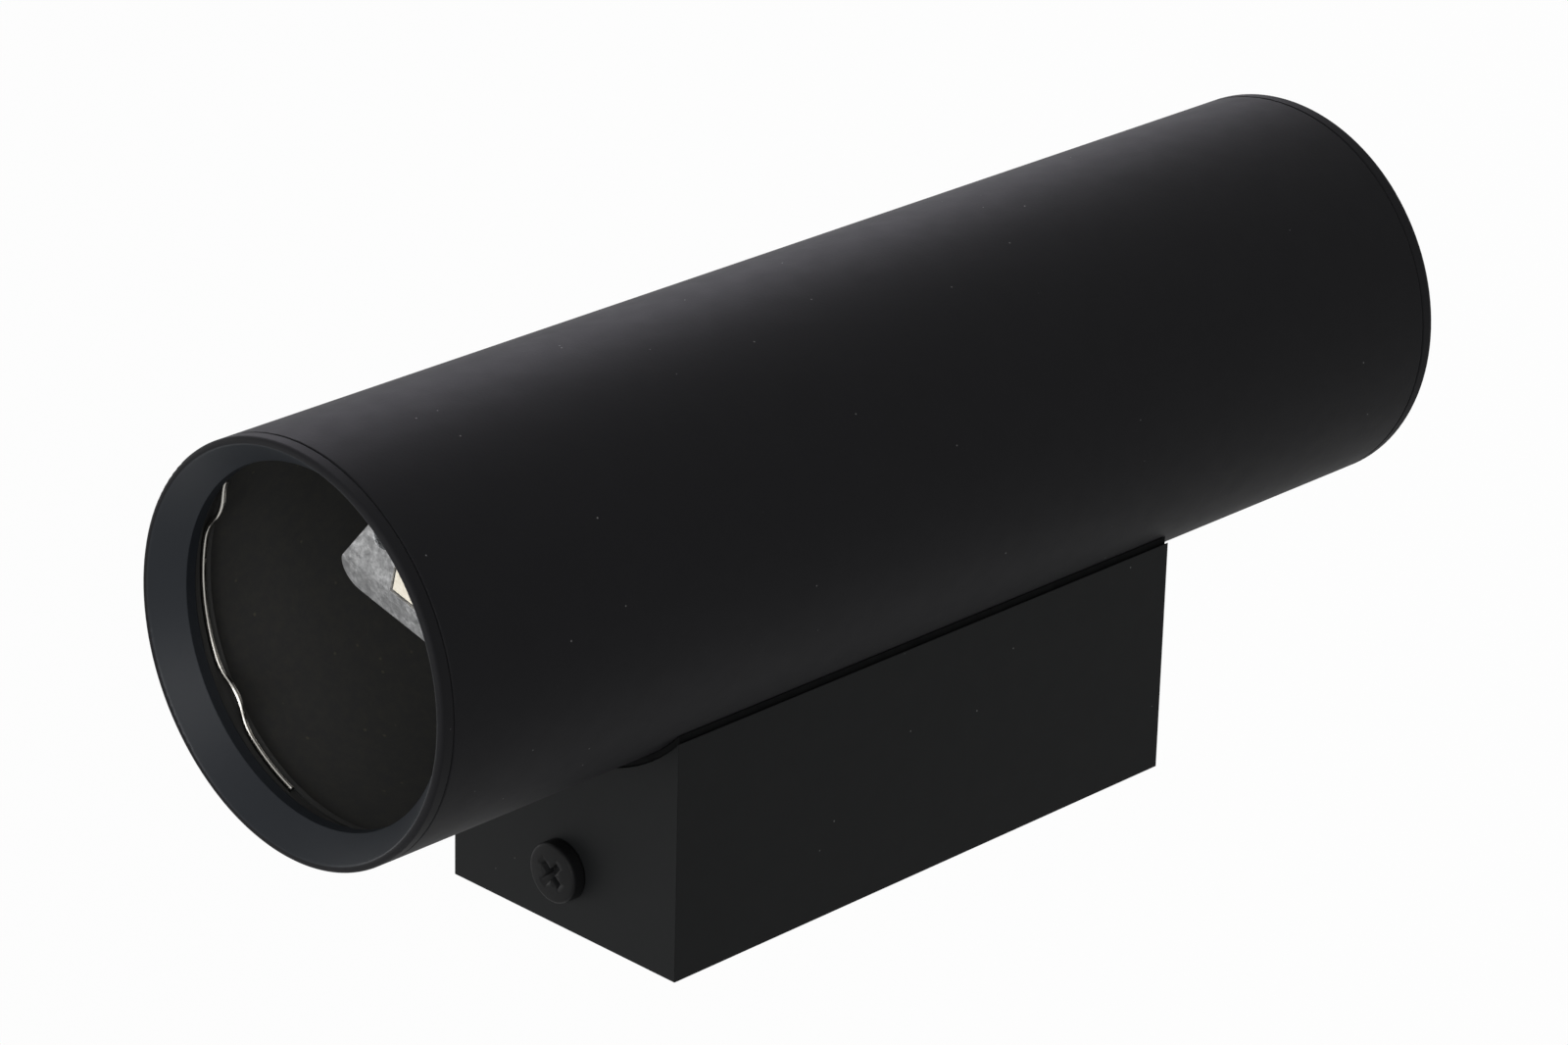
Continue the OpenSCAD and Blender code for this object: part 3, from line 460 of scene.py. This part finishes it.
FINISH = {
    "black_coat": tube_coat(),
    "ring_coat": ring_coat(),
    "box_coat": box_coat(),
    "screw_black": black_oxide(),
    "gasket_rubber": rubber("gasket_rubber", (0.0026, 0.0027, 0.0028), bloom=0, level=0.03),
    "bush_rubber": rubber("bush_rubber", (0.02, 0.02, 0.021)),
    "spring_wire": metal("spring_wire", (0.43, 0.415, 0.385), 0.2),
    "galvanised": galvanised(),
    "zinc_steel": metal("zinc_steel", (0.62, 0.64, 0.66), 0.3),
    "steatite": ceramic(),
    "contact_bronze": metal("contact_bronze", (0.72, 0.5, 0.28), 0.32),
    "brass": metal("brass", (0.76, 0.6, 0.32), 0.28),
    "tinned_copper": metal("tinned_copper", (0.7, 0.67, 0.62), 0.34),
    "terminal_plastic": moulded_plastic("terminal_plastic", (0.78, 0.78, 0.73), 0.45),
    "brown_sleeve": moulded_plastic("brown_sleeve", (0.16, 0.06, 0.028), 0.48),
    "blue_sleeve": moulded_plastic("blue_sleeve", (0.03, 0.1, 0.38), 0.48),
    "earth_sleeve": moulded_plastic("earth_green", (0.05, 0.3, 0.06), 0.48),
    "earth_yellow": moulded_plastic("earth_yellow", (0.75, 0.62, 0.05), 0.48),
}


# Mesh helpers: lists of points and faces, in millimetres
def polar(r, deg):
    """Point at a radius and an angle in degrees, in the XY plane."""
    turn = math.radians(deg)
    return Vector((r * math.cos(turn), r * math.sin(turn), 0))


def smooth_path(points, steps):
    """Catmull-Rom curve through the points."""
    path = []
    last = len(points) - 1
    for i in range(last):
        a, b, c, d = (points[k] for k in (max(i - 1, 0), i, i + 1, min(i + 2, last)))
        for k in range(steps):
            t = k / steps
            path.append((2 * b + (c - a) * t + (2 * a - 5 * b + 4 * c - d) * t * t
                         + (3 * b - a - 3 * c + d) * t ** 3) / 2)
    return path + [points[-1]]


CAP_STEPS = 3
CAP_TIP_R = 1e-4


def sweep(path, radius, sides):
    """Round bar along the path, with domed ends."""
    headings = [(path[min(i + 1, len(path) - 1)] - path[max(i - 1, 0)]).normalized()
                for i in range(len(path))]
    lifts = [math.pi / 2 * k / CAP_STEPS for k in range(CAP_STEPS, 0, -1)]
    rings = [(0, -radius * math.sin(a), radius * math.cos(a)) for a in lifts]
    rings += [(i, 0.0, radius) for i in range(len(path))]
    rings += [(len(path) - 1, radius * math.sin(a), radius * math.cos(a)) for a in reversed(lifts)]
    side = headings[0].orthogonal().normalized()
    points, faces = [], []
    for at, shift, r in rings:
        along = headings[at]
        side = (side - along * side.dot(along)).normalized()
        other = along.cross(side)
        centre = path[at] + along * shift
        for k in range(sides):
            turn = 2 * math.pi * k / sides
            out = side * math.cos(turn) + other * math.sin(turn)
            points.append(centre + max(r, CAP_TIP_R) * out)
    for i in range(len(rings) - 1):
        for k in range(sides):
            a, b = i * sides + k, i * sides + (k + 1) % sides
            faces.append((a, b, b + sides, a + sides))
    faces.append(tuple(range(sides - 1, -1, -1)))
    top = (len(rings) - 1) * sides
    faces.append(tuple(range(top, top + sides)))
    return points, faces


def lathe(profile, sides):
    """Closed solid turned round Z from (radius, height) points that start and end on the axis."""
    points, faces = [], []
    rows = profile[1:-1]
    for r, h in rows:
        points += [polar(r, 360 * k / sides) + Vector((0, 0, h)) for k in range(sides)]
    first, last = len(points), len(points) + 1
    points += [Vector((0, 0, profile[0][1])), Vector((0, 0, profile[-1][1]))]
    for k in range(sides):
        n = (k + 1) % sides
        faces.append((first, n, k))
        for i in range(len(rows) - 1):
            a, b = i * sides + k, i * sides + n
            faces.append((a, b, b + sides, a + sides))
        end = (len(rows) - 1) * sides
        faces.append((last, end + k, end + n))
    return points, faces


SMOOTH_DEG = 35


def build(name, points, faces, finishes, place=Matrix(), smooth=SMOOTH_DEG):
    """Mesh object in metres from points in millimetres; edges under smooth degrees shade round."""
    mesh = bpy.data.meshes.new(name)
    mesh.from_pydata([place @ Vector(v) * MM for v in points], [], faces)
    mesh.validate()
    work = bmesh.new()
    work.from_mesh(mesh)
    bmesh.ops.recalc_face_normals(work, faces=work.faces)
    for face in work.faces:
        face.smooth = True
    limit = math.radians(smooth)
    for edge in work.edges:
        edge.smooth = len(edge.link_faces) == 2 and edge.calc_face_angle(0) < limit
    work.to_mesh(mesh)
    work.free()
    for finish in finishes:
        mesh.materials.append(FINISH[finish])
    piece = bpy.data.objects.new(name, mesh)
    scene.collection.objects.link(piece)
    return piece


def cut_away(piece, tools):
    """Cuts each tool out of the piece and removes the tools."""
    for tool in tools:
        cut = piece.modifiers.new("cut", "BOOLEAN")
        cut.operation = "DIFFERENCE"
        cut.solver = "EXACT"
        cut.object = tool
        bpy.context.view_layer.update()
        solid = piece.evaluated_get(bpy.context.evaluated_depsgraph_get())
        mesh = bpy.data.meshes.new_from_object(solid)
        piece.modifiers.clear()
        old, piece.data = piece.data, mesh
        bpy.data.meshes.remove(old)
        bpy.data.objects.remove(tool)


def end_place(end):
    """The identity at the top end, and half a turn round the wall's normal at the bottom."""
    return Matrix() if end == "top" else Matrix.Rotation(math.pi, 4, "Y")


# Spring clip of each ring, in millimetres: lobes in the groove, dips over the lamp's rim
CLIP_DEPTH = 8.0
WIRE_R = 0.4
LOBE_R = 25.2
DIPS = 5
DIP_STEP = 62.0
CLIP_GAP = 48.0
CLIP_MIDDLE = 273.0
DIP_BEND = 5.0
SHOULDER_BEND = 6.0
DIP_IN = 1.4
SHOULDER_AT = LOBE_R - SHOULDER_BEND
DIP_AT = LOBE_R - DIP_IN + DIP_BEND
WIRE_STEP_DEG = 1.5
WIRE_SIDES = 14


def clip_path():
    """Points of the wire's middle, in the mouth's own frame."""
    reach = DIP_BEND + SHOULDER_BEND
    half = math.acos((SHOULDER_AT ** 2 + DIP_AT ** 2 - reach ** 2) / (2 * SHOULDER_AT * DIP_AT))
    meet = math.atan2(SHOULDER_AT * math.sin(half), DIP_AT - SHOULDER_AT * math.cos(half))
    half, meet = math.degrees(half), math.degrees(meet)
    path = []

    def arc(off, at, r, start, stop):
        """Arc of radius r round a middle at distance off and angle at."""
        steps = max(2, round(abs(stop - start) * r / LOBE_R / WIRE_STEP_DEG))
        for k in range(steps):
            path.append(polar(off, at) + polar(r, start + (stop - start) * k / steps))

    here = CLIP_MIDDLE - 180 + CLIP_GAP / 2
    stop = CLIP_MIDDLE + 180 - CLIP_GAP / 2
    for k in range(DIPS):
        at = CLIP_MIDDLE + (k - (DIPS - 1) / 2) * DIP_STEP
        arc(0, 0, LOBE_R, here, at - half)
        arc(SHOULDER_AT, at - half, SHOULDER_BEND, at - half, at + meet)
        arc(DIP_AT, at, DIP_BEND, at + 180 + meet, at + 180 - meet)
        arc(SHOULDER_AT, at + half, SHOULDER_BEND, at - meet, at + half)
        here = at + half
    arc(0, 0, LOBE_R, here, stop)
    return path + [polar(LOBE_R, stop)]


def make_clips():
    """Round spring wire in place of each CAD clip."""
    points, faces = sweep(clip_path(), WIRE_R, WIRE_SIDES)
    middle = Matrix.Translation((0, AXIS_Y / MM, END_Z / MM - CLIP_DEPTH))
    for end in ENDS:
        name = f"lamp_clip_{end}"
        piece = build(f"spring_wire_{end}", points, faces, ["spring_wire"], end_place(end) @ middle)
        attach(piece, name)
        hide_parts(name)


# Side screws, in millimetres: domed pan head with a tapered cross recess, and a real thread
SCREW_Y = -8.5
BOX_END = 46.3
HEAD_R = 4.15
HEAD_H = 2.3
HEAD_ROUND = 0.45
HEAD_ROUND_STEPS = 6
HEAD_CROWN = 0.15
CROWN_SHARES = (0.25, 0.5, 0.75, 0.9)
SEAT_BREAK = 0.18
NECK_R = 1.5
HEAD_SIDES = 64
THREAD_R = 2.0
THREAD_DEPTH = 0.28
THREAD_PITCH = 0.7
THREAD_L = 8.0
THREAD_SINK = 0.05
THREAD_STEPS = 7
THREAD_SIDES = 32
THREAD_SMOOTH_DEG = 50
FLANK_SLOPE = 1.35
TIP_L = 0.5
TIP_SHARE = 0.5
# Cross recess: half length and half width of a bar just over the head and at its foot
RECESS_TURN = -40.0
RECESS_DEPTH = 1.35
RECESS_OVER = 0.3
RECESS_WING = (2.35, 0.62)
RECESS_FOOT = (1.1, 0.42)


def screw_head():
    """Profile of the head, from the crown's middle round to the seat."""
    rim_r, rim_h = HEAD_R - HEAD_ROUND, HEAD_H - HEAD_CROWN - HEAD_ROUND
    profile = [(0, HEAD_H)]
    for share in CROWN_SHARES:
        profile.append((rim_r * share, HEAD_H - HEAD_CROWN * share ** 2))
    for k in range(HEAD_ROUND_STEPS + 1):
        a = math.pi / 2 * (1 - k / HEAD_ROUND_STEPS)
        profile.append((rim_r + HEAD_ROUND * math.cos(a), rim_h + HEAD_ROUND * math.sin(a)))
    return profile + [(HEAD_R, SEAT_BREAK), (HEAD_R - SEAT_BREAK, 0), (NECK_R, 0), (0, 0)]


def screw_thread():
    """Shank whose radius follows the thread's helix, with a tapered tip."""
    sides = THREAD_SIDES
    step = THREAD_PITCH / THREAD_STEPS
    count = round(THREAD_L / step)
    points, faces = [], []
    for i in range(count + 1):
        down = i * step
        taper = min(1.0, TIP_SHARE + (1 - TIP_SHARE) * (THREAD_L - down) / TIP_L)
        height = Vector((0, 0, THREAD_SINK - down))
        for k in range(sides):
            phase = (down / THREAD_PITCH + k / sides) % 1
            crest = 1 - abs(2 * phase - 1)
            r = THREAD_R - THREAD_DEPTH * (1 - min(1, FLANK_SLOPE * crest))
            points.append(height + polar(r * taper, 360 * k / sides))
    for i in range(count):
        for k in range(sides):
            a, b = i * sides + k, i * sides + (k + 1) % sides
            faces.append((a, a + sides, b + sides, b))
    faces.append(tuple(range(sides)))
    faces.append(tuple(range(count * sides + sides - 1, count * sides - 1, -1)))
    return points, faces


def recess_tool(turn):
    """One tapered bar of the cross recess."""
    points = []
    top, foot = HEAD_H + RECESS_OVER, HEAD_H - RECESS_DEPTH
    for (half_l, half_w), h in ((RECESS_WING, top), (RECESS_FOOT, foot)):
        points += [(x * half_l, y * half_w, h) for x, y in ((1, 1), (-1, 1), (-1, -1), (1, -1))]
    faces = [(0, 1, 2, 3), (7, 6, 5, 4)]
    faces += [(k, k + 4, (k + 1) % 4 + 4, (k + 1) % 4) for k in range(4)]
    return build("tool", points, faces, [], Matrix.Rotation(math.radians(turn), 4, "Z"), 0)


def make_side_screws():
    """Head and threaded shank in place of each CAD screw."""
    for end in ENDS:
        name = f"side_screw_{end}"
        black = ["screw_black"]
        head = build(f"screw_head_{end}", *lathe(screw_head(), HEAD_SIDES), black)
        cut_away(head, [recess_tool(RECESS_TURN), recess_tool(RECESS_TURN + 90)])
        shank = build(f"screw_thread_{end}", *screw_thread(), black, smooth=THREAD_SMOOTH_DEG)
        place = end_place(end) @ Matrix.Translation((0, SCREW_Y * MM, BOX_END * MM))
        for piece in (head, shank):
            piece.data.transform(place)
            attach(piece, name)
        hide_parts(name)


# Sleeved leads, in millimetres, on the routes of the CAD leads
LEAD_R = 1.1
LEAD_SIDES = 12
LEAD_STEPS = 6
CONDUCTOR_R = 0.4
CONDUCTOR_L = 6.5
CONDUCTOR_SIDES = 10
LEAD_START_Z = 50.5
LEAD_OUT_Z = 41.1
PIN_HALF_PITCH = 5.0
HOLDER_TURN = 14.0
PIN_X, PIN_Y = polar(PIN_HALF_PITCH, HOLDER_TURN).xy
BUSH_TIP_Y = -28.26
BUSH_END_Y = -21.2
RUN_BEND = 5.0
INSERT_Y = -6.5
U_BEND = 4.85
BLOCK_BACK_Z = -17.5035
U_TURN_GAP = 5.5
END_GAP = 0.2
BEND_STEP_DEG = 30
U_TURN_Z = BLOCK_BACK_Z - U_TURN_GAP
LEAD_END_Z = BLOCK_BACK_Z - END_GAP
# Way from holder to bush: shares of the step to the lane, of the holder's y, of the tube's
# radius and of the height
WAY_SHARES = ((0.33, 0.5, 0.1, 0.75), (0.67, 0, 0.34, 0.5), (1, 0, 0.62, 0.25), (1, 0, 0.81, 0.07))
# Name, colour, end, x and y at the holder, x of its lane in the bush, x at the terminal
LEADS = (
    ("live_lead_top", "brown_sleeve", 1, -PIN_X, PIN_Y, -3.6, -9.65),
    ("live_lead_bottom", "brown_sleeve", -1, -PIN_X, -PIN_Y, -1.2, -7.35),
    ("neutral_lead_top", "blue_sleeve", 1, PIN_X, -PIN_Y, 3.6, 1.15),
    ("neutral_lead_bottom", "blue_sleeve", -1, PIN_X, PIN_Y, 1.2, -1.15),
)


def lead_route(side, x0, y0, lane, end_x):
    """Points from the lampholder through the bush and round to the terminal."""
    axis, tube_r = AXIS_Y / MM, TUBE_R / MM
    run_y = BUSH_END_Y + RUN_BEND
    way = [(x0, axis + y0, side * LEAD_START_Z),
           (x0, axis + y0, side * (LEAD_START_Z + LEAD_OUT_Z) / 2),
           (x0, axis + y0, side * LEAD_OUT_Z)]
    way += [(x0 + (lane - x0) * a, axis + y0 * b + tube_r * c, side * LEAD_OUT_Z * d)
            for a, b, c, d in WAY_SHARES]
    way += [(lane, BUSH_TIP_Y, 0), (lane, (BUSH_TIP_Y + BUSH_END_Y) / 2, 0)]
    for deg in range(0, 90 + 1, BEND_STEP_DEG):
        a = math.radians(deg)
        way.append((lane, BUSH_END_Y + RUN_BEND * math.sin(a), -RUN_BEND * (1 - math.cos(a))))
    way.append(((lane + end_x) / 2, run_y, (U_TURN_Z - RUN_BEND) / 2))
    for deg in range(0, 180 + 1, BEND_STEP_DEG):
        a = math.radians(deg)
        way.append((end_x, INSERT_Y - U_BEND * (1 + math.cos(a)), U_TURN_Z - U_BEND * math.sin(a)))
    way.append((end_x, INSERT_Y, LEAD_END_Z))
    return [Vector(w) for w in way]


def join_meshes(parts):
    """One list of points and faces from several, and the number of faces of each."""
    points, faces, counts = [], [], []
    for more_points, more_faces in parts:
        base = len(points)
        points += more_points
        faces += [tuple(base + k for k in face) for face in more_faces]
        counts.append(len(more_faces))
    return points, faces, counts


def bare_end(x):
    """Bare conductor that runs from a sleeve's end into its terminal."""
    start = Vector((x, INSERT_Y, LEAD_END_Z))
    return sweep([start, start + Vector((0, 0, CONDUCTOR_L))], CONDUCTOR_R, CONDUCTOR_SIDES)


def make_leads():
    """Sleeved leads with bare ends into the terminals, in place of the CAD leads."""
    for name, colour, side, x0, y0, lane, end_x in LEADS:
        path = smooth_path(lead_route(side, x0, y0, lane, end_x), LEAD_STEPS)
        sleeve = sweep(path, LEAD_R, LEAD_SIDES)
        points, faces, counts = join_meshes([sleeve, bare_end(end_x)])
        piece = build(f"{name}_sleeved", points, faces, [colour, "tinned_copper"])
        for face in piece.data.polygons[counts[0]:]:
            face.material_index = 1
        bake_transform(piece)
        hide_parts(name)


# Earth lead: green sleeve with a yellow stripe that winds slowly round it. The shares are of
# the way along Z and of the way across.
EARTH_FROM = Vector((10.5, -3.1, -26.0))
EARTH_TO = Vector((8.5, INSERT_Y, LEAD_END_Z))
EARTH_SHARES = ((0, 0), (0.1, 0), (0.2, 0), (0.5, 0.5), (0.8, 1), (0.9, 1), (1, 1))
EARTH_STEPS = 8
STRIPE_SIDES = 4
STRIPE_ROWS = 6


def make_earth_lead():
    """Striped earth lead in place of the CAD one."""
    gap = EARTH_TO - EARTH_FROM
    way = [EARTH_FROM + Vector((gap.x * b, gap.y * b, gap.z * a)) for a, b in EARTH_SHARES]
    sleeve = sweep(smooth_path(way, EARTH_STEPS), LEAD_R, LEAD_SIDES)
    points, faces, counts = join_meshes([sleeve, bare_end(EARTH_TO.x)])
    finishes = ["earth_sleeve", "earth_yellow", "tinned_copper"]
    piece = build("earth_lead_sleeved", points, faces, finishes)
    for i, face in enumerate(piece.data.polygons):
        row, k = divmod(i, LEAD_SIDES)
        if i >= counts[0]:
            face.material_index = 2
        elif (k + row // STRIPE_ROWS) % LEAD_SIDES < STRIPE_SIDES:
            face.material_index = 1
    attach(piece, "body")
    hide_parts("earth_lead")


def finish_nodes():
    """Gives each CAD node its slot's finish."""
    for row in frame["record"]["subparts"]:
        node = frame["nodes"][row["node"]]
        node.data.materials.clear()
        node.data.materials.append(FINISH[row["material_slot"]])


# Stage, in metres: floor, world and lamps
FLOOR_Z = -1.4
FLOOR_HALF = 40.0
FLOOR_PALE = (0.86, 0.86, 0.85, 1)
FLOOR_ROUGH = 0.9
SEEN_WHITE = 0.97


def sees_background(tree):
    """1 for camera, glossy and transmission rays, else 0."""
    path = tree.nodes.new("ShaderNodeLightPath")
    total = None
    for name in ("Is Camera Ray", "Is Glossy Ray", "Is Transmission Ray"):
        if total is None:
            total = path.outputs[name]
            continue
        node = tree.nodes.new("ShaderNodeMath")
        node.operation = "MAXIMUM"
        tree.links.new(total, node.inputs[0])
        tree.links.new(path.outputs[name], node.inputs[1])
        total = node.outputs[0]
    return total


def make_floor():
    """Pale floor well below the light, near white to the camera, open from below."""
    mesh = bpy.data.meshes.new("floor")
    h = FLOOR_HALF
    mesh.from_pydata([(-h, -h, 0), (h, -h, 0), (h, h, 0), (-h, h, 0)], [], [(0, 1, 2, 3)])
    floor = bpy.data.objects.new("floor", mesh)
    floor.location.z = FLOOR_Z
    scene.collection.objects.link(floor)
    material = bpy.data.materials.new("floor")
    material.use_nodes = True
    tree = material.node_tree
    shader = tree.nodes["Principled BSDF"]
    shader.inputs["Base Color"].default_value = FLOOR_PALE
    shader.inputs["Roughness"].default_value = FLOOR_ROUGH
    white = tree.nodes.new("ShaderNodeEmission")
    scaled = tree.nodes.new("ShaderNodeMath")
    scaled.operation = "MULTIPLY"
    scaled.inputs[1].default_value = SEEN_WHITE
    tree.links.new(sees_background(tree), scaled.inputs[0])
    front = tree.nodes.new("ShaderNodeMixShader")
    tree.links.new(scaled.outputs[0], front.inputs[0])
    tree.links.new(shader.outputs[0], front.inputs[1])
    tree.links.new(white.outputs[0], front.inputs[2])
    back = tree.nodes.new("ShaderNodeMixShader")
    side = tree.nodes.new("ShaderNodeNewGeometry")
    clear = tree.nodes.new("ShaderNodeBsdfTransparent")
    tree.links.new(side.outputs["Backfacing"], back.inputs[0])
    tree.links.new(front.outputs[0], back.inputs[1])
    tree.links.new(clear.outputs[0], back.inputs[2])
    tree.links.new(back.outputs[0], tree.nodes["Material Output"].inputs[0])
    mesh.materials.append(material)


WORLD_LIGHT = 0.28


def make_world():
    """White to the camera and to reflections, and a soft even light for the rest."""
    world = bpy.data.worlds.new("studio")
    scene.world = world
    world.use_nodes = True
    tree = world.node_tree
    light = tree.nodes["Background"]
    light.inputs["Color"].default_value = (1, 1, 1, 1)
    light.inputs["Strength"].default_value = WORLD_LIGHT
    white = tree.nodes.new("ShaderNodeBackground")
    white.inputs["Color"].default_value = (1, 1, 1, 1)
    mix = tree.nodes.new("ShaderNodeMixShader")
    tree.links.new(sees_background(tree), mix.inputs[0])
    tree.links.new(light.outputs[0], mix.inputs[1])
    tree.links.new(white.outputs[0], mix.inputs[2])
    tree.links.new(mix.outputs[0], tree.nodes["World Output"].inputs[0])


# Lamps: name, place, size, power in watts and colour; each looks at the light's middle
LAMPS = (
    ("key", (0.95, -0.6, -0.7), 0.7, 5.8, (0.9, 0.87, 1.0)),
    ("fill", (-0.83, -0.5, 0.86), 0.8, 3.0, (1, 1, 1)),
    ("end", (-0.25, -0.25, 1.25), 0.8, 15, (1, 1, 1)),
    ("side", (1.3, 0.15, 0.45), 0.9, 4, (1, 1, 1)),
    ("front", (0.5, -1.25, -0.2), 0.5, 3.0, (0.92, 0.9, 1.0)),
    ("back", (0.2, 1.3, 0.2), 1.0, 1.5, (1, 1, 1)),
)


def make_lamps():
    """Square soft lamps round the light."""
    middle = Vector((0, AXIS_Y, 0))
    for name, place, size, power, tint in LAMPS:
        data = bpy.data.lights.new(name, "AREA")
        data.size = size
        data.energy = power
        data.color = tint
        lamp = bpy.data.objects.new(name, data)
        lamp.location = place
        lamp.rotation_euler = (Vector(place) - middle).to_track_quat("Z", "Y").to_euler()
        scene.collection.objects.link(lamp)


make_camera()
finish_nodes()
make_clips()
make_side_screws()
make_leads()
make_earth_lead()
make_floor()
make_world()
make_lamps()

scene.view_settings.view_transform = "Standard"
